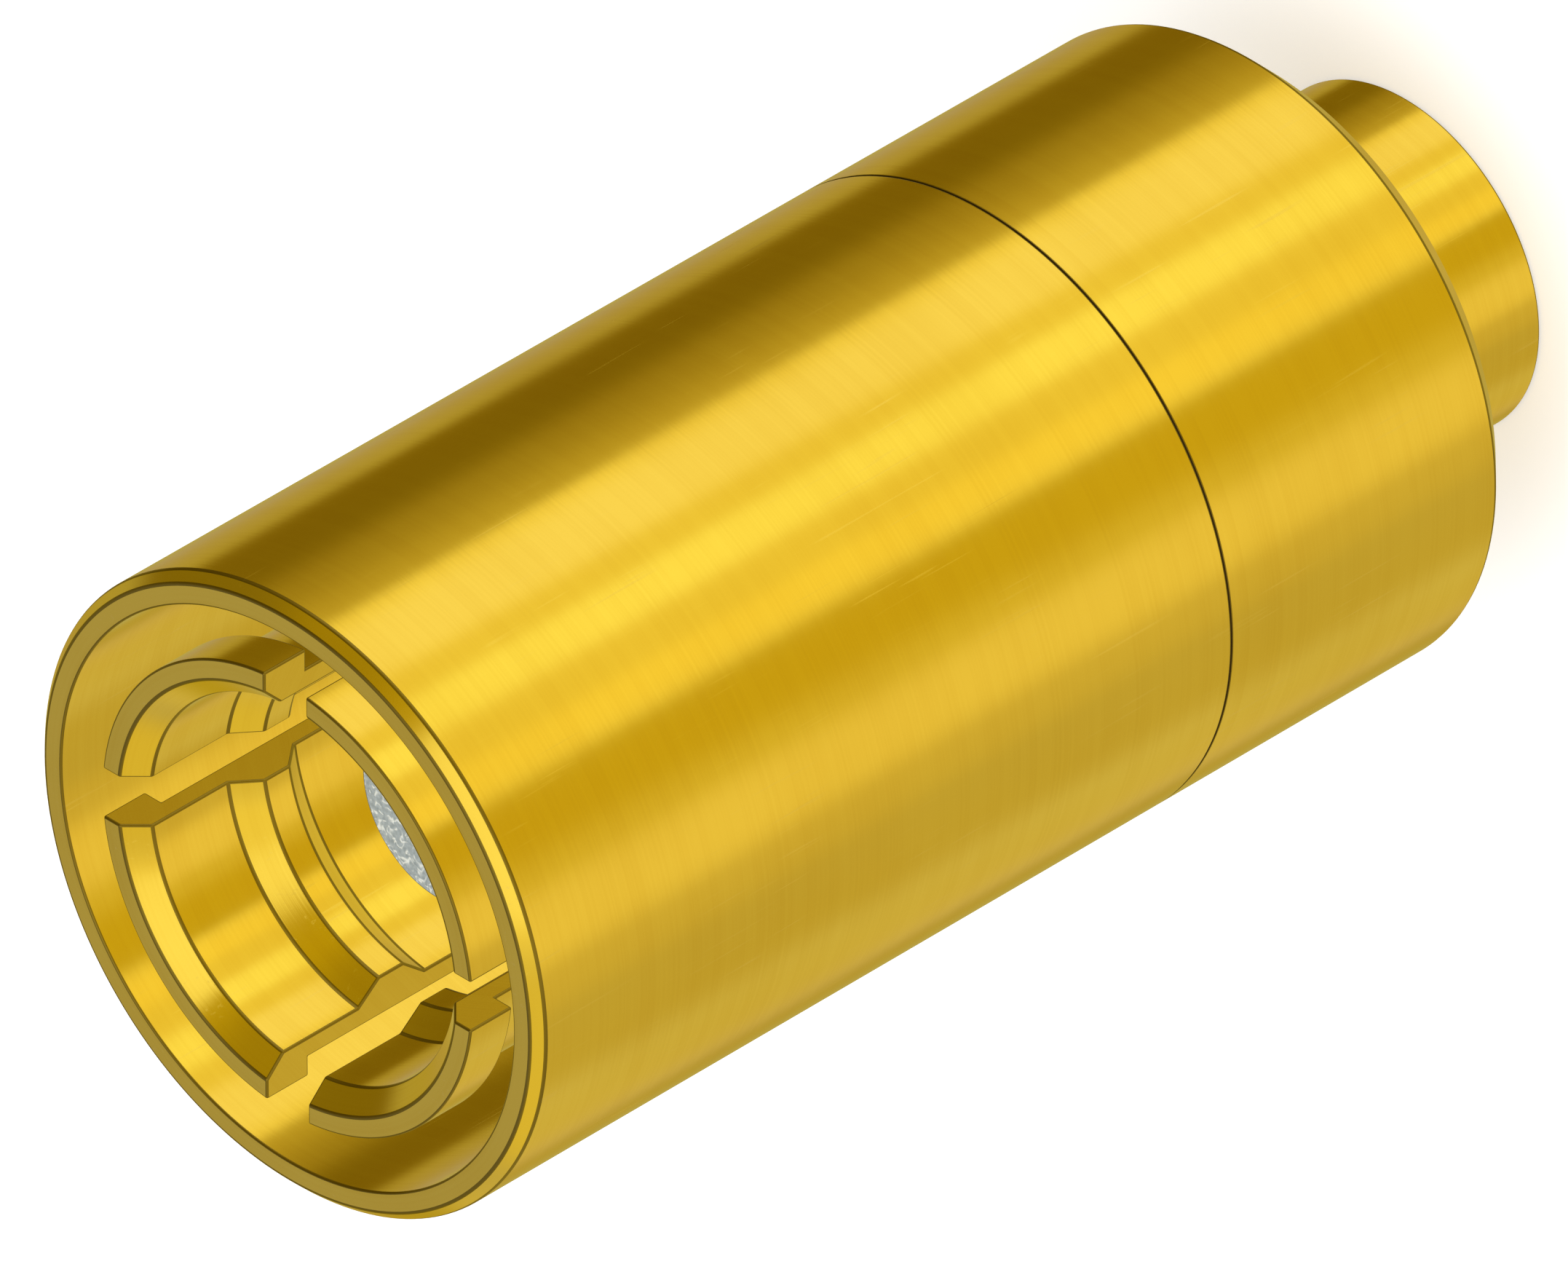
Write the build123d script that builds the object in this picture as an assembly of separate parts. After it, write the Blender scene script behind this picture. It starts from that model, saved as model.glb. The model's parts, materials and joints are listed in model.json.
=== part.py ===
from build123d import *

import os

# Straight push-on coaxial plug for semi-rigid cable, in millimetres. It is turned from gold-plated brass
# and stands on the end of its cable tube, on the +Z axis, with its mating face at the top. Every piece is
# located by its depth below that mating face, so the sizes run from the mouth of the plug backwards.

# Spring collet: its bore takes the nose of the jack, and its ridge snaps into the groove round that nose.
mating_bore = 3.7
finger_wall = 0.2
lead_in = 0.2
bead_height = 0.2
bead_length = 0.5
ridge_start = 1.1
ridge_height = 0.2
ridge_ramp = 0.25
ridge_land = 0.3
finger_slots = 4
finger_slot_width = 0.5
mating_depth = 4.0
slot_root = 0.6
root_wall = 0.4
root_step = 0.2
floor_thickness = 0.6
flange_thickness = 0.8

# Outer shell: a thin sleeve round the fingers, a web that locates the collet, and a socket behind it.
flex_room = 0.5
sleeve_wall = 0.3
mouth_chamfer = 0.1
web_setback = 0.6
web_thickness = 0.8
socket_wall = 0.5
socket_engagement = 2.2

# Socket contact: a split bore for the jack's pin, a shoulder, and a solder cup for the cable's wire.
pin_bore = 0.52
pin_bore_depth = 2.6
contact_wall = 0.19
contact_recess = 0.1
tine_slots = 2
tine_slot_width = 0.12
tine_slot_length = 2.0
tine_slot_angle = 45
shoulder_height = 0.2
shoulder_length = 0.8
cup_bore = 0.56
cup_wall = 0.2
cup_depth = 1.0
cup_recess = 0.1
vent_diameter = 0.3

# Insulators: a nose that reaches into the jack, a body round the contact, and a bush behind the shoulder.
nose_tip_depth = 1.8
nose_wall = 0.44
insulator_wall = 0.94
joint_setback = 0.8
bush_length = 1.2

# Rear body: a spigot inside the shell, a collar of the shell's diameter, and the cable tube.
collar_length = 3.5
collar_chamfer = 0.25
tube_length = 1.7
tube_wall = 0.55
cable_bore = 2.25
cable_mouth_chamfer = 0.1
cable_stop_ledge = 0.25
dielectric_length = 1.2

# Gap all round between fitted pieces, the break on turned edges, and how far saw cuts run clear.
fit_gap = 0.01
edge_break = 0.02
run_out = 0.1

# Radii that follow, from the axis outwards.
pin_bore_r = pin_bore / 2
contact_r = pin_bore_r + contact_wall
shoulder_r = contact_r + shoulder_height
cup_r = cup_bore / 2
stem_r = cup_r + cup_wall
nose_r = contact_r + fit_gap + nose_wall
insulator_r = shoulder_r + fit_gap + insulator_wall
cable_r = cable_bore / 2
tube_r = cable_r + tube_wall
finger_bore_r = mating_bore / 2
finger_r = finger_bore_r + finger_wall
bead_r = finger_r + bead_height
root_r = finger_bore_r + root_wall
sleeve_bore_r = bead_r + flex_room
body_r = sleeve_bore_r + sleeve_wall
socket_r = body_r - socket_wall
insert_r = socket_r - fit_gap

# Depths that follow, from the mating face backwards.
ridge_front = ridge_start + ridge_ramp
ridge_back = ridge_front + ridge_land
slot_end = mating_depth - slot_root
root_start = slot_end + root_step
seat_depth = mating_depth + floor_thickness
sleeve_depth = mating_depth + web_setback
flange_front = sleeve_depth + web_thickness
flange_back = flange_front + flange_thickness
shell_length = flange_back + socket_engagement
contact_tip = nose_tip_depth + contact_recess
joint_depth = flange_back + joint_setback
shoulder_front = joint_depth - shoulder_length
bush_end = joint_depth + bush_length
contact_end = bush_end - cup_recess
cup_floor = contact_end - cup_depth
cable_stop = bush_end + dielectric_length
collar_end = shell_length + collar_length
overall_length = collar_end + tube_length


def height(depth):
    """Height above the end of the cable tube of a point that lies this deep below the mating face."""
    return overall_length - depth


def turned(outline):
    """Solid of revolution about the plug's axis, from the (radius, depth) corners of half its section."""
    corners = [(radius, 0, height(depth)) for radius, depth in outline]
    return revolve(make_face(Polyline(*corners, close=True)), Axis.Z)


def drilled(radius, front, back):
    """Round hole on the axis, from depth front to depth back."""
    return Pos(0, 0, height(back)) * extrude(Circle(radius), back - front)


def saw_cuts(count, width, reach, back, first_angle=0):
    """Slots from the mating face to depth back, evenly spaced, each from the axis out to radius reach."""
    length = back + run_out
    blade = Pos(reach / 2, 0, height(back) + length / 2) * Box(reach, width, length)
    return [Rot(0, 0, first_angle + turn * 360 / count) * blade for turn in range(count)]


def outer_shell():
    """Sleeve that guards the fingers, the web behind it, and the socket for the rear body."""
    web_bore_r = root_r + fit_gap
    return turned(
        [
            (sleeve_bore_r + edge_break, 0),
            (body_r - mouth_chamfer, 0),
            (body_r, mouth_chamfer),
            (body_r, shell_length - edge_break),
            (body_r - edge_break, shell_length),
            (socket_r, shell_length),
            (socket_r, flange_front),
            (web_bore_r, flange_front),
            (web_bore_r, sleeve_depth),
            (sleeve_bore_r, sleeve_depth),
            (sleeve_bore_r, edge_break),
        ]
    )


def spring_collet():
    """Slotted outer contact: fingers with a bead outside and a snap ridge inside, a floor and a flange."""
    nose_hole_r = nose_r + fit_gap
    seat_r = insulator_r + fit_gap
    blank = turned(
        [
            (finger_bore_r + lead_in, 0),
            (bead_r - edge_break, 0),
            (bead_r, edge_break),
            (bead_r, bead_length),
            (finger_r, bead_length),
            (finger_r, root_start),
            (root_r, root_start),
            (root_r, flange_front),
            (insert_r, flange_front),
            (insert_r, flange_back),
            (seat_r, flange_back),
            (seat_r, seat_depth),
            (nose_hole_r, seat_depth),
            (nose_hole_r, mating_depth),
            (finger_bore_r, mating_depth),
            (finger_bore_r, ridge_back + ridge_ramp),
            (finger_bore_r - ridge_height, ridge_back),
            (finger_bore_r - ridge_height, ridge_front),
            (finger_bore_r, ridge_start),
            (finger_bore_r, lead_in),
        ]
    )
    return blank - saw_cuts(finger_slots, finger_slot_width, sleeve_bore_r, slot_end)


def front_insulator():
    """Nose round the socket contact, and the body behind it, counterbored for the contact's shoulder."""
    contact_hole_r = contact_r + fit_gap
    shoulder_hole_r = shoulder_r + fit_gap
    return turned(
        [
            (contact_hole_r, nose_tip_depth),
            (nose_r - edge_break, nose_tip_depth),
            (nose_r, nose_tip_depth + edge_break),
            (nose_r, seat_depth),
            (insulator_r, seat_depth),
            (insulator_r, joint_depth),
            (shoulder_hole_r, joint_depth),
            (shoulder_hole_r, shoulder_front),
            (contact_hole_r, shoulder_front),
        ]
    )


def rear_insulator():
    """Bush that closes the contact in and keeps the cable's wire clear of the rear body."""
    stem_hole_r = stem_r + fit_gap
    return turned(
        [
            (stem_hole_r, joint_depth),
            (insulator_r, joint_depth),
            (insulator_r, bush_end),
            (stem_hole_r, bush_end),
        ]
    )


def socket_contact():
    """Split socket in front, the shoulder that the insulators hold, and a vented solder cup behind."""
    blank = turned(
        [
            (0, contact_tip),
            (contact_r - edge_break, contact_tip),
            (contact_r, contact_tip + edge_break),
            (contact_r, shoulder_front),
            (shoulder_r, shoulder_front),
            (shoulder_r, joint_depth),
            (stem_r, joint_depth),
            (stem_r, contact_end),
            (0, contact_end),
        ]
    )
    bored = blank - drilled(pin_bore_r, contact_tip, contact_tip + pin_bore_depth)
    bored -= drilled(cup_r, cup_floor, contact_end)
    vent = Plane.YZ * Pos(0, height(cup_floor + vent_diameter)) * Circle(vent_diameter / 2)
    bored -= Rot(0, 0, tine_slot_angle) * extrude(vent, shoulder_r)
    tine_end = contact_tip + tine_slot_length
    return bored - saw_cuts(tine_slots, tine_slot_width, shoulder_r, tine_end, tine_slot_angle)


def rear_body():
    """Spigot that clamps the collet's flange against the web, the collar behind it, and the cable tube."""
    seat_r = insulator_r + fit_gap
    dielectric_r = cable_r - cable_stop_ledge
    return turned(
        [
            (seat_r, flange_back),
            (insert_r, flange_back),
            (insert_r, shell_length),
            (body_r - edge_break, shell_length),
            (body_r, shell_length + edge_break),
            (body_r, collar_end - collar_chamfer),
            (body_r - collar_chamfer, collar_end),
            (tube_r, collar_end),
            (tube_r, overall_length - edge_break),
            (tube_r - edge_break, overall_length),
            (cable_r + cable_mouth_chamfer, overall_length),
            (cable_r, overall_length - cable_mouth_chamfer),
            (cable_r, cable_stop),
            (dielectric_r, cable_stop),
            (dielectric_r, bush_end),
            (seat_r, bush_end),
        ]
    )


os.makedirs("parts", exist_ok=True)
for make_piece in (outer_shell, spring_collet, front_insulator, socket_contact, rear_insulator, rear_body):
    export_step(make_piece(), f"parts/{make_piece.__name__}.step")
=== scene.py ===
# %% [markdown]
# A push-on coaxial plug, about as large as the end of a pencil. The real one is turned from brass and
# spring alloy on a lathe, plated with gold, and pressed together round two plastic insulators. This lesson
# dresses its six pieces. The packed model gives their places, so the first step loads it and keeps its box.

# %% Load the packed model
import json
import math

import bmesh
import bpy
import numpy as np
from mathutils import Matrix, Vector


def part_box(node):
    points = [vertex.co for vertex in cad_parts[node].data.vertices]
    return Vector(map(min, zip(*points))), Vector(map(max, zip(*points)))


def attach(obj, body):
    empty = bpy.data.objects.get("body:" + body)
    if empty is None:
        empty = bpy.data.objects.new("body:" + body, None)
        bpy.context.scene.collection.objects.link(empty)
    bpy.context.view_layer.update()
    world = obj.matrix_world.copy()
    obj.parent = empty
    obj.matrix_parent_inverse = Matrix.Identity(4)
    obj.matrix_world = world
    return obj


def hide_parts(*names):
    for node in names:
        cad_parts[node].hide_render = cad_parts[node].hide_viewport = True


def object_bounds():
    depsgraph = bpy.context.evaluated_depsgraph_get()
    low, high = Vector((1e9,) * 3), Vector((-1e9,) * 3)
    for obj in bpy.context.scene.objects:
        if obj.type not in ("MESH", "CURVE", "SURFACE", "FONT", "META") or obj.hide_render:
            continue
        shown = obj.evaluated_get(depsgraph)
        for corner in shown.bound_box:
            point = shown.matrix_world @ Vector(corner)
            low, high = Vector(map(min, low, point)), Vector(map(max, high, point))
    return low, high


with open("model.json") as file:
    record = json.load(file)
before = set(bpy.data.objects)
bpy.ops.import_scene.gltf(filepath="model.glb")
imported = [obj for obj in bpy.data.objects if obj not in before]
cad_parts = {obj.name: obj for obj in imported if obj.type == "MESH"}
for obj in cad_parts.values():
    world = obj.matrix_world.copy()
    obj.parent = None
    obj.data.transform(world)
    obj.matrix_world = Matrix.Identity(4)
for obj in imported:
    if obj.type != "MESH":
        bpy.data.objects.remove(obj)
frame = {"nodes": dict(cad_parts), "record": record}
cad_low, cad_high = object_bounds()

MM = 0.001
print("nodes:", sorted(frame["nodes"]))
print("box in mm:", [round(v / MM, 3) for v in (*cad_low, *cad_high)])

# %% [markdown]
# The plug stands on its cable tube with the mating face on top, so a place along it is easiest to name by
# its depth below that face, as a machinist would read it from a drawing. Mounts of the packed model give
# six radii, and the boxes of its nodes give the depths at which they begin and end. Every other size is
# written out with the first piece that needs it.

# %% Sizes from the frame
top = cad_high.z
mount_r = {m["name"]: m["dims"].get("r_mm", 0.0) * MM for m in frame["record"]["mounts"]}


def depths(node):
    """Front and back of a node, as depths below the mating face."""
    low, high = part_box(node)
    return top - high.z, top - low.z


body_r = mount_r["barrel"]
tube_r = mount_r["cable_tube"]
cable_r = mount_r["cable_bore"]
bore_r = mount_r["jack_bore"]
ridge_r = mount_r["snap_ridge"]
pin_r = mount_r["pin_socket"]
shell_back = depths("outer_shell")[1]
flange_back = depths("spring_collet")[1]
nose_tip, joint = depths("front_insulator")
contact_tip, contact_back = depths("socket_contact")
bush_back = depths("rear_insulator")[1]
for name in sorted(frame["nodes"]):
    print(f"{name}: depth {depths(name)[0] / MM:.2f} to {depths(name)[1] / MM:.2f} mm")

# %% [markdown]
# The picture is a parallel view with equal angles to all three axes, rolled so that the plug lies down. A
# very long lens from half a metre away is nearly parallel, and unlike an orthographic camera it can still
# be moved round the object. The camera looks along (-1, -1, -1), and the plug's +Y axis points up in the
# picture.

# %% Camera
FRAME_WIDTH = 13.5 * MM
LENS = 1200
SENSOR = 36
# The picture's middle, measured from the centre of the mating face.
AIM_RIGHT = 4.249 * MM
AIM_UP = 2.281 * MM
AIM_AWAY = 3.93 * MM
# What the camera can see, in shares of its distance from that middle.
CLIP_NEAR, CLIP_FAR = 0.5, 4
back = Vector((1, 1, 1)).normalized()
up = Vector((0, 1, 0))
up = (up - back * up.dot(back)).normalized()
right = up.cross(back)
camera_data = bpy.data.cameras.new("camera")
camera_data.lens = LENS
camera_data.sensor_width = SENSOR
distance = FRAME_WIDTH * LENS / SENSOR
aim = Vector((0, 0, top)) + right * AIM_RIGHT + up * AIM_UP - back * AIM_AWAY
camera = bpy.data.objects.new("camera", camera_data)
facing = Matrix((right, up, back)).transposed().to_4x4()
camera.matrix_world = Matrix.Translation(aim + back * distance) @ facing
camera_data.clip_start = distance * CLIP_NEAR
camera_data.clip_end = distance * CLIP_FAR
bpy.context.collection.objects.link(camera)
bpy.context.scene.camera = camera
print("camera", round(distance, 3), "m away")

# %% [markdown]
# A lathe makes surfaces of revolution. One could use the Screw modifier on an edge, but a grid worked out
# with numpy also lets the saw cuts be part of the same closed surface. The grid has one row per corner of
# the half section and many columns round the axis. Where a piece is sawn, the columns of each finger stop
# at the saw's kerf. Its walls are parallel, so the angle of that edge depends on the radius: asin(half the
# kerf / radius).

# %% Angles of the grid's columns
COLUMNS = 192
KERF_COLUMNS = 6
FINGERS = 4
slot_width = 0.5 * MM


def column_angles(radii, cuts, kerf, first, kerf_columns):
    """Angle of every grid point, one row per radius. Each finger's columns run evenly between two edges of
    kerfs, at asin(kerf / 2 / radius) from the middle of a kerf, and a kerf's columns run evenly between the
    same edges. Without cuts the columns are even all round. Also says which columns are finger."""
    if not cuts:
        return np.tile(np.arange(COLUMNS) * 2 * np.pi / COLUMNS, (len(radii), 1)), np.ones(COLUMNS, bool)
    half = np.arcsin(kerf / 2 / radii)[:, None]
    finger_columns = COLUMNS // cuts - kerf_columns
    over_kerf = -half + 2 * half * np.arange(kerf_columns) / kerf_columns
    over_finger = half + (2 * np.pi / cuts - 2 * half) * np.arange(finger_columns) / finger_columns
    sector = np.hstack([over_kerf, over_finger])
    turns = first + np.arange(cuts) * 2 * np.pi / cuts
    angles = (sector[:, None, :] + turns[None, :, None]).reshape(len(radii), -1)
    return angles, np.tile(np.arange(COLUMNS // cuts) >= kerf_columns, cuts)


bore_angles = column_angles(np.array([bore_r]), FINGERS, slot_width, 0.0, KERF_COLUMNS)[0][0]
print("a finger starts", round(math.degrees(bore_angles[KERF_COLUMNS]), 1), "degrees from its slot's middle")


# %% Corners where the saw stops
def with_crossings(corners, depth):
    """The half section with a corner added on each of its edges that crosses this depth."""
    following = np.roll(corners, -1, axis=0)
    crosses = (corners[:, 1] - depth) * (following[:, 1] - depth) < 0
    share = (depth - corners[:, 1]) / np.where(crosses, following[:, 1] - corners[:, 1], 1)
    added = corners + share[:, None] * (following - corners)
    return np.insert(corners, np.flatnonzero(crosses) + 1, added[crosses], axis=0)


square = np.array([(0.0, 0), (1, 0), (1, 1), (0, 1)])
print("a unit square cut halfway has", len(with_crossings(square, 0.5)), "corners")

# %% Walls and floors of the saw cuts
SAME_POINT = 1e-9


def kerf_faces(deep, finger, cut_depth):
    """Faces that close a sawn grid: the part of the section in front of the cut's end, as one flat wall at
    each side of every finger, and a strip of floor across each kerf, between the two rows where it ends."""
    rows, columns = len(deep), len(finger)
    ends = np.flatnonzero(np.abs(deep - cut_depth) < SAME_POINT)
    between = np.arange(ends[0], ends[1] + 1)
    around = np.arange(ends[1], ends[0] + rows + 1) % rows
    front = between if deep[between].min() < cut_depth - SAME_POINT else around
    first, last = front[0], front[-1]
    starts = np.flatnonzero(finger & ~np.roll(finger, 1))
    stops = np.flatnonzero(~finger & np.roll(finger, 1))
    walls = (front[None, :] * columns + np.concatenate([starts, stops])[:, None]).tolist()
    kerf = np.flatnonzero(~finger)
    beside = (kerf + 1) % columns
    front_row, back_row = first * columns, last * columns
    strips = (front_row + kerf, front_row + beside, back_row + beside, back_row + kerf)
    return walls + np.stack(strips, axis=1).tolist()


two_tines = kerf_faces(np.array([0.0, 1, 2, 2, 1, 0]), np.array([False, True, True] * 2), 1.0)
print("a ring with two cuts gets", len(two_tines), "more faces")


# %% Surface of a turned piece
def turned_surface(corners, cuts, kerf, cut_depth, first, kerf_columns):
    """Points and faces of a surface of revolution. Each corner (r, depth) of the half section becomes a row
    of points x = r cos(a), y = r sin(a), z = top - depth. A kerf has no face in front of cut_depth, and an
    edge that lies on the axis has none. On the axis, where asin has no value, a kerf's angle is that of a
    point one kerf away from it."""
    if cuts:
        corners = with_crossings(corners, cut_depth)
    radii, deep = corners.T
    angles, finger = column_angles(np.maximum(radii, kerf), cuts, kerf, first, kerf_columns)
    x, y = radii[:, None] * np.cos(angles), radii[:, None] * np.sin(angles)
    z = np.broadcast_to(top - deep[:, None], x.shape)
    rows, columns = angles.shape
    row, column = np.meshgrid(np.arange(rows) * columns, np.arange(columns), indexing="ij")
    below, beside = np.roll(row, -1, axis=0), np.roll(column, -1, axis=1)
    quads = np.stack([row + column, row + beside, below + beside, below + column], axis=2)
    sawn, on_axis = deep < cut_depth + SAME_POINT, radii < SAME_POINT
    in_front = sawn & np.roll(sawn, -1)
    no_width = on_axis & np.roll(on_axis, -1)
    kept = (~in_front[:, None] | finger[None, :]) & ~no_width[:, None]
    faces = quads[kept].tolist()
    if cuts:
        faces += kerf_faces(deep, finger, cut_depth)
    return np.stack([x, y, z], axis=2).reshape(-1, 3).tolist(), faces


triangle = np.array([(1.0, 0), (2, 0), (2, 1)]) * MM
print("a turned triangle has", len(turned_surface(triangle, 0, 0.0, 0.0, 0.0, 0)[1]), "faces")

# %% A turned piece, plain or sawn
EDGE_SLOT = 1
BEVEL_SEGMENTS = 3
SHARP = math.radians(30)


def turned(name, corners, bevel, cuts=0, kerf=0.0, cut_depth=0.0, first=0.0, kerf_columns=KERF_COLUMNS):
    """The closed surface that these corners (radius, depth) make, as an object at the origin. Points on the
    axis are merged, then the faces turn outwards, and sharp edges get a bevel in the second material."""
    points, faces = turned_surface(np.array(corners, float), cuts, kerf, cut_depth, first, kerf_columns)
    mesh = bpy.data.meshes.new(name)
    mesh.from_pydata(points, [], faces)
    work = bmesh.new()
    work.from_mesh(mesh)
    bmesh.ops.remove_doubles(work, verts=work.verts, dist=SAME_POINT)
    bmesh.ops.delete(work, geom=[v for v in work.verts if not v.link_faces], context="VERTS")
    bmesh.ops.recalc_face_normals(work, faces=work.faces)
    print(f"{name}: {work.calc_volume(signed=True) / MM ** 3:.2f} cubic mm, open edges",
          sum(not e.is_manifold for e in work.edges))
    work.to_mesh(mesh)
    work.free()
    mesh.shade_smooth()
    piece = bpy.data.objects.new(name, mesh)
    bpy.context.collection.objects.link(piece)
    rounded = piece.modifiers.new("broken edges", "BEVEL")
    rounded.width = bevel
    rounded.segments = BEVEL_SEGMENTS
    rounded.angle_limit = SHARP
    rounded.harden_normals = True
    rounded.material = EDGE_SLOT
    return piece


print("edges over", round(math.degrees(SHARP)), "degrees are rounded with", BEVEL_SEGMENTS, "faces")


# %% What each piece stands for
def stands_for(piece, node, slot):
    """The piece moves with the one body and hides this node; the slot's name is only printed."""
    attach(piece, "root")
    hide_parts(node)
    print(piece.name, "replaces", node, "in", slot)


# %% [markdown]
# The outer shell is a thin sleeve that guards the spring fingers, a web behind them, and a socket into
# which the rear body is pressed. It could be tubes joined by Booleans, but one loop of corners gives
# cleaner edges: along the mouth, down the outside, up the socket, in and out round the web, and back up the
# bore.

# %% Outer shell
edge_break = 0.02 * MM
fit_gap = 0.01 * MM
sleeve_wall = 0.3 * MM
sleeve_floor = 4.6 * MM
mouth_chamfer = 0.1 * MM
socket_wall = 0.5 * MM
flange_front = 5.4 * MM
root_wall = 0.4 * MM
sleeve_r = body_r - sleeve_wall
socket_r = body_r - socket_wall
root_r = bore_r + root_wall
web_r = root_r + fit_gap
shell = turned("sleeve", [
    (sleeve_r, 0), (body_r - mouth_chamfer, 0), (body_r, mouth_chamfer), (body_r, shell_back),
    (socket_r, shell_back), (socket_r, flange_front), (web_r, flange_front), (web_r, sleeve_floor),
    (sleeve_r, sleeve_floor)], edge_break)
stands_for(shell, "outer_shell", "plated_shell")

# %% [markdown]
# The spring collet makes the outer contact. Four saw cuts leave four fingers. Each has a bead outside at
# its tip, a wide lead-in that finds the jack's nose, and a ridge inside that springs into the jack's
# groove. The cuts are part of the grid, because a Boolean saw would leave long thin faces that shade badly.

# %% Sizes of the collet
finger_wall = 0.2 * MM
bead_height = 0.2 * MM
bead_length = 0.5 * MM
lead_in = 0.2 * MM
ridge_back = 1.65 * MM
ridge_land = 0.3 * MM
ridge_ramp = 0.25 * MM
slot_end = 3.4 * MM
root_start = 3.6 * MM
bore_floor = 4.0 * MM
seat_depth = 4.6 * MM
nose_r = 0.9 * MM
insulator_r = 1.6 * MM
finger_r = bore_r + finger_wall
bead_r = finger_r + bead_height
ridge_front = ridge_back - ridge_land
nose_hole_r = nose_r + fit_gap
seat_r = insulator_r + fit_gap
insert_r = socket_r - fit_gap
print("fingers", round(2 * finger_r / MM, 2), "mm across, beads", round(2 * bead_r / MM, 2))

# %% Spring collet
collet = turned("collet", [
    (bore_r + lead_in, 0), (bead_r, 0), (bead_r, bead_length), (finger_r, bead_length),
    (finger_r, root_start), (root_r, root_start), (root_r, flange_front), (insert_r, flange_front),
    (insert_r, flange_back), (seat_r, flange_back), (seat_r, seat_depth), (nose_hole_r, seat_depth),
    (nose_hole_r, bore_floor), (bore_r, bore_floor), (bore_r, ridge_back + ridge_ramp),
    (ridge_r, ridge_back), (ridge_r, ridge_front), (bore_r, ridge_front - ridge_ramp), (bore_r, lead_in)],
    edge_break, cuts=FINGERS, kerf=slot_width, cut_depth=slot_end)
stands_for(collet, "spring_collet", "plated_spring")

# %% [markdown]
# The rear body is pressed into the shell's socket as far as its collar. The collar has the shell's own
# diameter, so only a hairline shows where they meet. Behind it is the tube that is soldered round the
# cable's jacket. The broken edges beside the hairline are real geometry, so the line is a small groove, and
# the gold's colour also paints shade into it.

# %% Rear body
collar_chamfer = 0.25 * MM
tube_length = 1.7 * MM
cable_chamfer = 0.1 * MM
cable_stop_ledge = 0.25 * MM
dielectric_length = 1.2 * MM
collar_back = top - tube_length
cable_stop = bush_back + dielectric_length
dielectric_r = cable_r - cable_stop_ledge
rear = turned("collar_and_tube", [
    (seat_r, flange_back), (insert_r, flange_back), (insert_r, shell_back), (body_r, shell_back),
    (body_r, collar_back - collar_chamfer), (body_r - collar_chamfer, collar_back), (tube_r, collar_back),
    (tube_r, top), (cable_r + cable_chamfer, top), (cable_r, top - cable_chamfer), (cable_r, cable_stop),
    (dielectric_r, cable_stop), (dielectric_r, bush_back), (seat_r, bush_back)], edge_break)
stands_for(rear, "rear_body", "plated_shell")

# %% [markdown]
# Two turned plastic pieces hold the centre contact on the axis: a body with a nose that reaches into the
# jack, and a bush that closes the contact in from behind. From above only the nose's end shows, deep in the
# mouth. They are made whole all the same, because the plug is also looked at in section.

# %% Insulators
contact_r = 0.45 * MM
shoulder_r = 0.65 * MM
shoulder_length = 0.8 * MM
stem_r = 0.48 * MM
shoulder_front = joint - shoulder_length
contact_hole_r = contact_r + fit_gap
shoulder_hole_r = shoulder_r + fit_gap
stem_hole_r = stem_r + fit_gap
nose = turned("insulator_nose", [
    (contact_hole_r, nose_tip), (nose_r, nose_tip), (nose_r, seat_depth), (insulator_r, seat_depth),
    (insulator_r, joint), (shoulder_hole_r, joint), (shoulder_hole_r, shoulder_front),
    (contact_hole_r, shoulder_front)], edge_break)
stands_for(nose, "front_insulator", "insulator")
bush = turned("insulator_bush", [
    (stem_hole_r, joint), (insulator_r, joint), (insulator_r, bush_back), (stem_hole_r, bush_back)],
    edge_break)
stands_for(bush, "rear_insulator", "insulator")

# %% [markdown]
# The socket contact takes the jack's pin in front and the cable's wire behind. It is bored from both ends,
# so its half section touches the axis in the middle, and one saw cut across the front makes two tines. Its
# walls are thin, so its broken edges are smaller than those of the other pieces.

# %% Socket contact
TINES = 2
TINE_KERF_COLUMNS = 4
tine_angle = math.radians(45)
tine_slot_width = 0.12 * MM
tine_length = 2.0 * MM
pin_depth = 2.6 * MM
cup_r = 0.28 * MM
cup_depth = 1.0 * MM
contact_edge_break = 0.006 * MM
cup_floor = contact_back - cup_depth
contact = turned("pin_socket", [
    (pin_r, contact_tip), (contact_r, contact_tip), (contact_r, shoulder_front),
    (shoulder_r, shoulder_front), (shoulder_r, joint), (stem_r, joint), (stem_r, contact_back),
    (cup_r, contact_back), (cup_r, cup_floor), (0, cup_floor), (0, contact_tip + pin_depth),
    (pin_r, contact_tip + pin_depth)], contact_edge_break, cuts=TINES, kerf=tine_slot_width,
    cut_depth=contact_tip + tine_length, first=tine_angle, kerf_columns=TINE_KERF_COLUMNS)
stands_for(contact, "socket_contact", "plated_contact")

# %% [markdown]
# Shader maths reads best as ordinary sums. A small class wraps one socket of a node, and its operators add
# the Math nodes, so 1 - mask works too. Any other node comes from its one method `add`, which takes the
# node's type, its settings, and the values or links of its sockets.

# %% Shader arithmetic
# The Mix node's colour sockets, by number, because its float and vector sockets have the same names.
COLOUR_A, COLOUR_B, COLOUR_RESULT = 6, 7, 2


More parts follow.
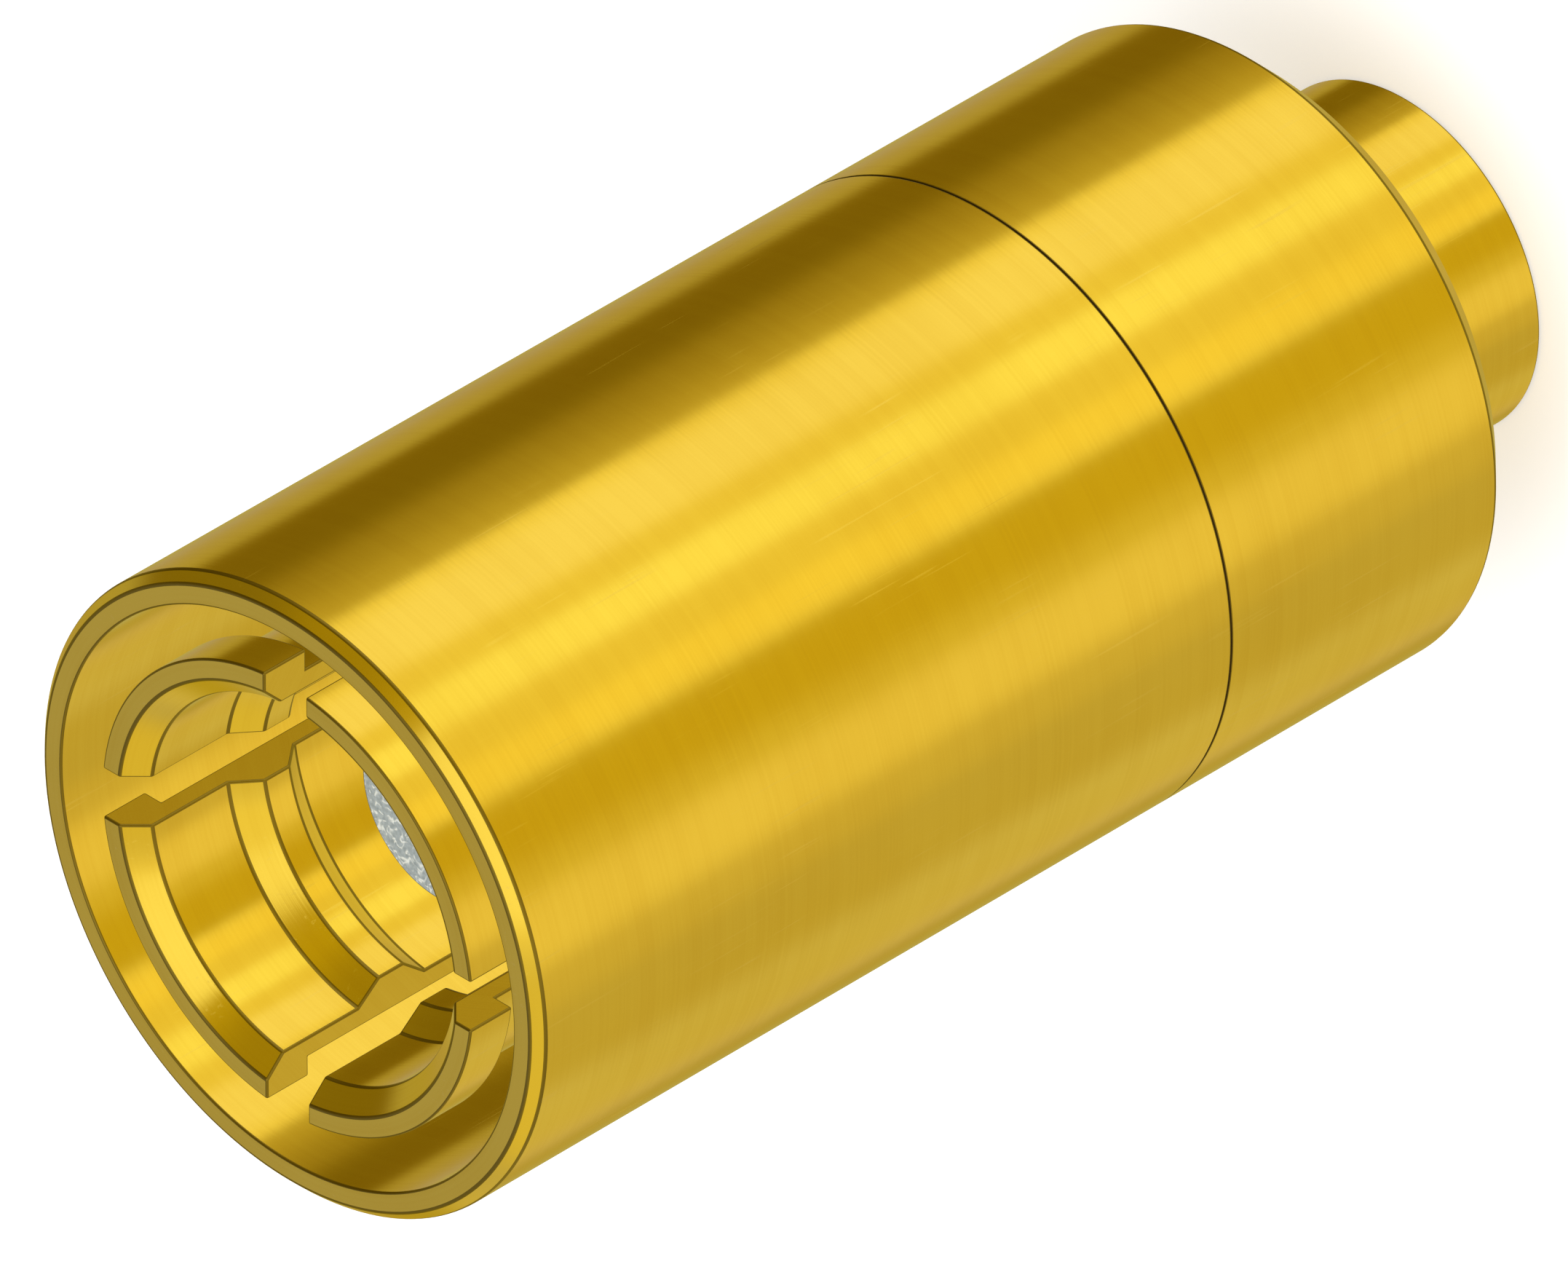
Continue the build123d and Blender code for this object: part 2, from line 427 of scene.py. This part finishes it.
class Link:
    """One output socket of a shader tree. Sums on it add Math nodes, and `add` adds any other node."""

    def __init__(self, tree, socket=None):
        self.tree = tree
        self.socket = socket

    def add(self, kind, settings=None, values=None, output=0):
        """A node of this type. Its settings are set first, and then its sockets, by name or number."""
        node = self.tree.nodes.new("ShaderNode" + kind)
        for key, value in (settings or {}).items():
            setattr(node, key, value)
        for key, value in (values or {}).items():
            if isinstance(value, Link):
                self.tree.links.new(value.socket, node.inputs[key])
            else:
                node.inputs[key].default_value = value
        return Link(self.tree, node.outputs[output]) if node.outputs else node

    def math(self, operation, first, second=0.0):
        """Two values, each a number or a link, through a Math node."""
        return self.add("Math", {"operation": operation}, {0: first, 1: second})

    def __add__(self, other):
        return self.math("ADD", self, other)

    def __sub__(self, other):
        return self.math("SUBTRACT", self, other)

    def __rsub__(self, other):
        return self.math("SUBTRACT", other, self)

    def __mul__(self, other):
        return self.math("MULTIPLY", self, other)

    def __truediv__(self, other):
        return self.math("DIVIDE", self, other)

    def __rtruediv__(self, other):
        return self.math("DIVIDE", other, self)

    def __abs__(self):
        return self.math("ABSOLUTE", self)

    __radd__ = __add__
    __rmul__ = __mul__

    def root(self):
        """Square root of this number."""
        return self.math("SQRT", self)

    def part(self, output):
        """Another output of the same node."""
        return Link(self.tree, self.socket.node.outputs[output])

    def step(self, low, high):
        """0 at low, 1 at high, a smooth step between, and level beyond both; low may be the larger."""
        return self.add("MapRange", {"interpolation_type": "SMOOTHSTEP"},
                        {"Value": self, "From Min": low, "From Max": high})

    def mix(self, first, second):
        """Colour that goes from first to second as this number goes from 0 to 1."""
        return self.add("Mix", {"data_type": "RGBA"}, {"Factor": self, COLOUR_A: first, COLOUR_B: second},
                        output=COLOUR_RESULT)


print("a socket can", [name for name in vars(Link) if callable(getattr(Link, name))])


# %% Places on the piece, in millimetres
def place(tree):
    """Object coordinates, in mm."""
    metres = Link(tree).add("TexCoord", output="Object")
    return metres.add("VectorMath", {"operation": "SCALE"}, {0: metres, "Scale": 1 / MM})


def height_and_radius(point):
    """z of a place, and its distance from the axis, sqrt(x^2 + y^2)."""
    x = point.add("SeparateXYZ", values={0: point})
    y, z = x.part("Y"), x.part("Z")
    return z, (x * x + y * y).root()


def feed(shader, **links):
    """Link these results to the shader's sockets; an underscore in a name stands for a space."""
    for name, link in links.items():
        link.tree.links.new(link.socket, shader.inputs[name.replace("_", " ")])


print("the joint is", round((top - shell_back) / MM, 2), "mm up in these coordinates")

# %% [markdown]
# Gold plate over brass takes its look from what it mirrors, so its colour is nearly even and the finish is
# in the roughness and the relief. A lathe leaves fine rings, which follow the height on the barrel and the
# radius on the flat faces, so a sum of both serves for every face. The radius has less than its full share
# in it, or the rings would vanish on a chamfer at 45 degrees. Handling adds faint smudges, and pushing the
# plug on and off adds thin rubs along it. A map could be painted, but noises of place have no seams.

# %% Marks of the lathe and of use
FINE_RINGS, COARSE_RINGS = 34, 5
RADIUS_SHARE = 0.73
RUB_STRETCH = (26, 26, 0.7)
RUB_LINES = (0.66, 0.74)
RUB_PATCH_SCALE = 0.8
RUB_PATCHES = (0.45, 0.6)
GROOVE, GROOVE_EDGE = 0.006, 0.012
BARREL_SKIN = (2.6, 2.7)


def noise(point, scale, detail):
    """Noise of a place in mm, with about this many swells to a mm, and this many finer layers on them."""
    return point.add("TexNoise", values={"Vector": point, "Scale": scale, "Detail": detail})


def rings(along, scale, detail):
    """Noise of a single length in mm, which draws rings round the axis."""
    return along.add("TexNoise", {"noise_dimensions": "1D"},
                     {"W": along * scale, "Detail": detail, "Scale": 1.0})


def rub_lines(point):
    """Thin lines along the plug: a noise that is drawn out along z, in the patches of a second noise."""
    drawn = point.add("VectorMath", {"operation": "MULTIPLY"}, {0: point, 1: RUB_STRETCH})
    return noise(drawn, 1.0, 1.0).step(*RUB_LINES) * noise(point, RUB_PATCH_SCALE, 2.0).step(*RUB_PATCHES)


def joint_line(z, radius):
    """A narrow ring on the outside of the barrel, at the height where shell and collar meet."""
    return abs(z - (top - shell_back) / MM).step(GROOVE_EDGE, GROOVE) * radius.step(*BARREL_SKIN)


print("fine rings lie about", round(1 / FINE_RINGS, 2), "mm apart, coarse ones", round(1 / COARSE_RINGS, 2))

# %% [markdown]
# Every mark changes the gold's tone, roughness or relief a little, so each of the three is a weighted sum
# of the same few marks. Specular Tint is the metal's colour at grazing angles. A pale gold there keeps the
# rims yellow, where white would look like chrome.

# %% Gold plate
GOLD = (0.97, 0.68, 0.08, 1)
DEEP_GOLD = (0.86, 0.56, 0.05, 1)
PALE_GOLD = (0.98, 0.72, 0.14, 1)
# Dark brown of painted shade, for the joint's ring and for the broken edges.
PAINTED_SHADE = (0.05, 0.03, 0.01, 1)
GRAZING_GOLD = (1.0, 0.84, 0.44, 1)
MEAN = 0.5
SMUDGES, GRAIN = 0.55, 14.0
SPREAD, COARSE_SPREAD = (0.3, 0.7), (0.35, 0.65)
SMUDGE_TONE, FINE_TONE, COARSE_TONE = 0.35, 0.14, 0.16
RUB_PALE, JOINT_SHADE = 0.35, 0.85
SMUDGE_DULL, FINE_DULL, GRAIN_DULL, RUB_DULL, JOINT_DULL = 0.10, 0.06, 0.03, 0.12, 0.3
COARSE_RELIEF, GRAIN_RELIEF, RUB_RELIEF = 0.8, 0.1, 0.3
RING_DEPTH = 0.0002 * MM


def gold_plate(name, roughness, ring_depth, edge_shade=0.0):
    """Metal whose tone, roughness and relief are sums of fine and coarse rings, smudges, grain, rubs and a
    dark line of painted shade in the joint. The last argument mixes painted shade into the whole surface,
    for broken edges. The rings are noises of the height plus a share of the radius."""
    material = bpy.data.materials.new(name)
    material.use_nodes = True
    shader = material.node_tree.nodes["Principled BSDF"]
    point = place(material.node_tree)
    z, radius = height_and_radius(point)
    along = z + RADIUS_SHARE * radius
    fine = rings(along, FINE_RINGS, 2.0)
    coarse = rings(along, COARSE_RINGS, 3.0)
    smudge = noise(point, SMUDGES, 3.0)
    grain = noise(point, GRAIN, 2.0)
    rubs = rub_lines(point)
    seam = joint_line(z, radius)
    tone = SMUDGE_TONE * smudge.step(*SPREAD) + FINE_TONE * (fine.step(*SPREAD) - MEAN)
    tone = tone + COARSE_TONE * (coarse.step(*COARSE_SPREAD) - MEAN)
    colour = tone.mix(GOLD, DEEP_GOLD)
    colour = (RUB_PALE * rubs).mix(colour, PALE_GOLD)
    # Painted shade, dark brown: in the joint's ring, and all over by the share that the last argument gives.
    colour = (JOINT_SHADE * seam + edge_shade).mix(colour, PAINTED_SHADE)
    rough = roughness + SMUDGE_DULL * (smudge - MEAN) + FINE_DULL * (fine - MEAN)
    rough = rough + GRAIN_DULL * (grain - MEAN) + RUB_DULL * rubs + JOINT_DULL * seam
    height = fine + COARSE_RELIEF * coarse + GRAIN_RELIEF * grain - RUB_RELIEF * rubs
    bump = point.add("Bump", values={"Strength": 1.0, "Distance": ring_depth, "Height": height})
    feed(shader, Base_Color=colour, Roughness=rough, Normal=bump)
    shader.inputs["Metallic"].default_value = 1.0
    shader.inputs["Specular Tint"].default_value = GRAZING_GOLD
    return material


shell_gold = gold_plate("turned_gold", roughness=0.15, ring_depth=RING_DEPTH)
spring_gold = gold_plate("spring_gold", roughness=0.14, ring_depth=RING_DEPTH)
contact_gold = gold_plate("contact_gold", roughness=0.13, ring_depth=RING_DEPTH / 2)
print("made", [m.name for m in (shell_gold, spring_gold, contact_gold)])

# %% [markdown]
# Every edge of the plug is drawn by a thin dark line, which is painted shade on the broken edge, so that
# each edge reads as an outline. A mask from the mesh's pointiness could find the edges, but the bevel's
# faces already have a material slot of their own, so they simply take the same gold, duller and with the
# dark brown of painted shade in it.

# %% Dull edges with painted shade
# Painted shade: the broken edges take three quarters of the dark brown.
shaded_edge_gold = gold_plate("shaded_edge_gold", roughness=0.30, ring_depth=RING_DEPTH, edge_shade=0.75)


def finish_with(piece, material, edge_material):
    """The piece's first slot is its faces' material, and its second is that of its broken edges."""
    piece.data.materials.append(material)
    piece.data.materials.append(edge_material)
    print(piece.name, "has", [m.name for m in piece.data.materials])


for piece, gold in ((shell, shell_gold), (rear, shell_gold), (collet, spring_gold), (contact, contact_gold)):
    finish_with(piece, gold, shaded_edge_gold)

# %% [markdown]
# The insulator is a grey, slightly waxy plastic whose face is covered with crinkled veins, a few
# hundredths of a millimetre wide and raised a little; their pale colour is a painted highlight on that
# relief. Wave textures would run too straight. A noise that is folded about its middle value draws winding
# lines, and a second noise fades them in and out. Its broken edges take darker tones of the same finish,
# painted shade as on the gold.

# %% Crinkled plastic
PLASTIC = (0.305, 0.37, 0.39, 1)
PALE_PLASTIC = (0.51, 0.60, 0.645, 1)
# Painted highlight: the pale colour of the raised veins.
VEIN_HIGHLIGHT = (0.92, 1.0, 1.0, 1)
# Dark grey for the mottle's grime and for painted shade on broken edges.
GRIME_AND_SHADE_PLASTIC = (0.05, 0.05, 0.04, 1)
CURLS, CURL_REACH = 12.0, (0.08, 0.08, 0.08)
WAVES, PATCHES, MOTTLE = 13.0, 22.0, 20.0
VEIN_WIDTH, VEIN_FADE = 0.15, (0.38, 0.66)
MOTTLE_SPREAD = (0.2, 0.8)
MOTTLE_GRIME, MOTTLE_DULL = 0.1, 0.2
PLASTIC_ROUGHNESS = 0.42
WAVE_RELIEF = 0.3
VEIN_RELIEF = 0.003 * MM


def crinkled(name, plastic_edge_shade):
    """Plastic of two mottled greys under veins whose pale colour is a painted highlight. A vein lies where
    one noise is near its middle value, and is as strong as a second noise there. A third noise shifts the
    places that both read, so the veins curl. The second argument mixes in painted shade, for broken edges."""
    material = bpy.data.materials.new(name)
    material.use_nodes = True
    point = place(material.node_tree)
    curl = noise(point, CURLS, 0.0).part("Color")
    bent = point.add("VectorMath", {"operation": "MULTIPLY_ADD"}, {0: curl, 1: CURL_REACH, 2: point})
    waves = noise(bent, WAVES, 0.0)
    vein = abs(waves - MEAN).step(VEIN_WIDTH, 0.0) * noise(bent, PATCHES, 0.0).step(*VEIN_FADE)
    mottle = noise(point, MOTTLE, 2.0)
    # The veins' pale colour is a painted highlight.
    colour = vein.mix(mottle.step(*MOTTLE_SPREAD).mix(PLASTIC, PALE_PLASTIC), VEIN_HIGHLIGHT)
    # The mottle adds a little grime; the second argument adds painted shade, for broken edges.
    colour = (MOTTLE_GRIME * mottle + plastic_edge_shade).mix(colour, GRIME_AND_SHADE_PLASTIC)
    rough = PLASTIC_ROUGHNESS + MOTTLE_DULL * (mottle - MEAN)
    height = vein + WAVE_RELIEF * waves
    bump = point.add("Bump", values={"Strength": 1.0, "Distance": VEIN_RELIEF, "Height": height})
    feed(material.node_tree.nodes["Principled BSDF"], Base_Color=colour, Roughness=rough, Normal=bump)
    return material


plastic = crinkled("crinkled_plastic", plastic_edge_shade=0.0)
# Painted shade: the plastic's broken edges take most of the dark grey.
shaded_edge_plastic = crinkled("shaded_edge_plastic", plastic_edge_shade=0.85)
for piece in (nose, bush):
    finish_with(piece, plastic, shaded_edge_plastic)

# %% [markdown]
# In the photograph the gold inside the mouth is as bright as the gold outside, as if every wall saw the
# studio and none saw its neighbour. Real polished walls this close would mirror each other many times and
# go dark and red. Blender has a switch for it: a piece that glossy rays don't see still casts its shadow
# and still shows.

# %% Pieces that mirror only the studio
for piece in (shell, collet, rear, nose, bush, contact):
    piece.visible_glossy = False

# %% [markdown]
# The floor is a plain white sheet. Its lit colour is pale grey, and what the camera sees of it is lifted to
# the white of the backdrop, so the white doesn't come from more light on the object, and the soft shadow
# stays. A mirror finish seen from above would show nothing but floor, so the metal looks through the sheet
# at the studio, as if the plug were held in the middle of the tent.

# %% Floor
HALF_FLOOR = 0.25
FLOOR_COLOUR = (0.8, 0.8, 0.8, 1)
FLOOR_LIFT = 0.45
WHITE = (1, 1, 1, 1)
floor_mesh = bpy.data.meshes.new("floor")
corner = np.array([(-1, -1, 0), (1, -1, 0), (1, 1, 0), (-1, 1, 0)]) * HALF_FLOOR
floor_mesh.from_pydata((corner + (0, 0, cad_low.z - fit_gap)).tolist(), [], [(0, 1, 2, 3)])
floor = bpy.data.objects.new("floor", floor_mesh)
bpy.context.collection.objects.link(floor)
floor.visible_glossy = False
sheet = bpy.data.materials.new("white_sheet")
sheet.use_nodes = True
sheet.node_tree.nodes.clear()
start = Link(sheet.node_tree)
camera_ray = start.add("LightPath", output="Is Camera Ray")
lit = start.add("BsdfDiffuse", values={"Color": FLOOR_COLOUR})
glow = start.add("Emission", values={"Color": WHITE, "Strength": camera_ray * FLOOR_LIFT})
start.add("OutputMaterial", values={"Surface": start.add("AddShader", values={0: lit, 1: glow})})
floor_mesh.materials.append(sheet)
print("floor", 2 * HALF_FLOOR, "m wide")

# %% [markdown]
# Polished metal shows its surroundings, so the studio is part of the finish. The plug stands in a cloth
# tent. Broad soft boxes and warm cards hang round it, and a round light over it. Only the world's glossy
# rays meet them, so what mirrors shows them, while the camera and plain surfaces see plain cloth. They
# could be planes with emission, but as smooth lobes round a direction they have no noise and stay put when
# the camera moves. Each is given by its name, its middle, its half width and its soft edge in degrees, and
# its colour.

# %% Directions in the world
NOT_ZERO = 1e-6  # keeps level above 0 straight up and straight down, where it divides
world = bpy.data.worlds.new("tent")
bpy.context.scene.world = world
world.use_nodes = True
world.cycles.sampling_method = "NONE"
world.node_tree.nodes.clear()
start = Link(world.node_tree)
toward = start.add("TexCoord", output="Generated")
east = start.add("SeparateXYZ", values={0: toward})
north, rise = east.part("Y"), east.part("Z")
level = (east * east + north * north + NOT_ZERO).root()


def soft_edged(cosine, half_width, soft):
    """1 where the angle with this cosine is under the half width, and smoothly 0 past the soft edge."""
    return cosine.step(math.cos(math.radians(half_width + soft)), math.cos(math.radians(half_width)))


def lobe(middle, half_width, soft):
    """Upright card: its angle is the one between a direction's compass bearing and the card's middle."""
    bearing = math.radians(middle)
    cosine = (east * math.cos(bearing) + north * math.sin(bearing)) / level
    return soft_edged(cosine, half_width, soft)


def disk(middle, lift, half_width, soft):
    """Round light: its angle is the one between a direction and the light's own bearing and height."""
    bearing, height = math.radians(middle), math.radians(lift)
    across = east * math.cos(bearing) + north * math.sin(bearing)
    return soft_edged(across * math.cos(height) + rise * math.sin(height), half_width, soft)


def hang(cards, tent):
    """The tent's colour with each card laid over those before it."""
    for _, middle, half_width, soft, colour in cards:
        tent = lobe(middle, half_width, soft).mix(tent, (*colour, 1))
    return tent


print("world", world.name, "with", len(world.node_tree.nodes), "nodes so far")

# %% Low cards, which the barrel and the bores mirror
LOW_TENT = (0.42, 0.41, 0.13, 1)
LOWER_CARDS = [
    ("grey sheet", -80, 13, 26, (0.63, 0.62, 0.74)),
    ("side sheet", -45, 8, 22, (0.55, 0.50, 0.33)),
    ("strip's glow", -20, 1, 18, (0.64, 0.57, 0.35)),
    ("strip's tail", 11, 9, 10, (0.69, 0.60, 0.21)),
    ("narrow strip", -6, 1, 16, (0.85, 0.77, 0.51)),
    ("amber gap", 28.5, 1, 16, (0.60, 0.49, 0.06)),
    ("soft box", 81.5, 36, 10, (0.97, 0.91, 0.62)),
    ("warm edge", 51, 2, 12, (0.99, 0.89, 0.40)),
    ("first rib", 60, 2, 7, (0.87, 0.78, 0.36)),
    ("first tube", 75, 4, 6, (1.06, 1.07, 0.77)),
    ("second rib", 87, 2, 6, (0.88, 0.80, 0.40)),
    ("second tube", 103, 6, 8, (1.00, 0.97, 0.94)),
    ("amber card", 143, 20, 6, (0.49, 0.42, 0.15)),
    ("dim card", 156, 10, 22, (0.34, 0.28, 0.08)),
    ("dark card", 165, 4, 20, (0.205, 0.16, 0.02)),
    ("rim sheet", -163, 7, 14, (0.445, 0.435, 0.37)),
    ("brown card", -128, 8, 20, (0.48, 0.45, 0.13)),
]
low_tent = hang(LOWER_CARDS, LOW_TENT)
print(len(LOWER_CARDS), "low cards")

# %% High cards and the round light, which the chamfers and the ridge's ramp mirror
HIGH_TENT = (0.40, 0.40, 0.55, 1)
UPPER_CARDS = [
    ("side sheet", -52, 20, 24, (0.72, 0.66, 0.33)),
    ("top strip", 12, 20, 22, (0.90, 0.84, 0.50)),
    ("amber wing", 80, 33, 15, (0.51, 0.42, 0.02)),
    ("amber card", 125, 3, 45, (0.355, 0.285, 0.02)),
    ("dark card", 163, 6, 34, (0.225, 0.18, 0.018)),
]
TOP_LIGHT = (1.06, 1.06, 0.95, 1)
top_light = disk(middle=28, lift=64.3, half_width=22.3, soft=5.5)
high_tent = top_light.mix(hang(UPPER_CARDS, HIGH_TENT), TOP_LIGHT)
print(len(UPPER_CARDS), "high cards and one round light")

# %% The tent as the metal, the camera and the plain surfaces see it
PALE_GREY = (0.75, 0.75, 0.75, 1)
ROOF = (0.8, 0.8, 0.7, 1)
GROUND = (0.66, 0.65, 0.46, 1)
LOW_TO_HIGH, ROOF_EDGE, GROUND_EDGE = (0.0, 0.3), (0.88, 0.98), (-0.75, -0.90)
mirrored = rise.step(*LOW_TO_HIGH).mix(low_tent, high_tent)
mirrored = rise.step(*ROOF_EDGE).mix(mirrored, ROOF)
mirrored = rise.step(*GROUND_EDGE).mix(mirrored, GROUND)
camera_ray = start.add("LightPath", output="Is Camera Ray")
seen = camera_ray.mix(camera_ray.part("Is Glossy Ray").mix(PALE_GREY, mirrored), WHITE)
start.add("OutputWorld", values={"Surface": start.add("Background", values={"Color": seen})})
print("world has", len(world.node_tree.nodes), "nodes")

# %% [markdown]
# One large soft box overhead gives the floor its soft shadow. It could be a sun lamp, but a disk close by
# has the soft edge of a real studio lamp. Its face shines evenly, so its power is the brightness that the
# face should have, times pi for all the directions that it shines in, times the area of the face.

# %% Lamp
LAMP_BRIGHTNESS = 4.0
LAMP_DISTANCE = 0.12
LAMP_HALF_ANGLE = math.radians(19)
LAMP_BEARING, LAMP_LIFT = math.radians(37), math.radians(54)
lamp_r = LAMP_DISTANCE * math.tan(LAMP_HALF_ANGLE)
lamp_data = bpy.data.lights.new("overhead", "AREA")
lamp_data.shape = "DISK"
lamp_data.size = 2 * lamp_r
lamp_data.energy = LAMP_BRIGHTNESS * math.pi * math.pi * lamp_r ** 2
outward = math.cos(LAMP_LIFT)
lamp_side = Vector((math.cos(LAMP_BEARING) * outward, math.sin(LAMP_BEARING) * outward, math.sin(LAMP_LIFT)))
lamp = bpy.data.objects.new("overhead", lamp_data)
turn = lamp_side.to_track_quat("Z", "Y").to_matrix().to_4x4()
lamp.matrix_world = Matrix.Translation(Vector((0, 0, top)) + lamp_side * LAMP_DISTANCE) @ turn
lamp.visible_glossy = False
bpy.context.collection.objects.link(lamp)
print("lamp", round(lamp_data.energy, 4), "W,", round(lamp_data.size / MM, 1), "mm across")

# %% [markdown]
# Standard view keeps each colour as it is written.

# %% Finish
bpy.context.scene.view_settings.view_transform = "Standard"
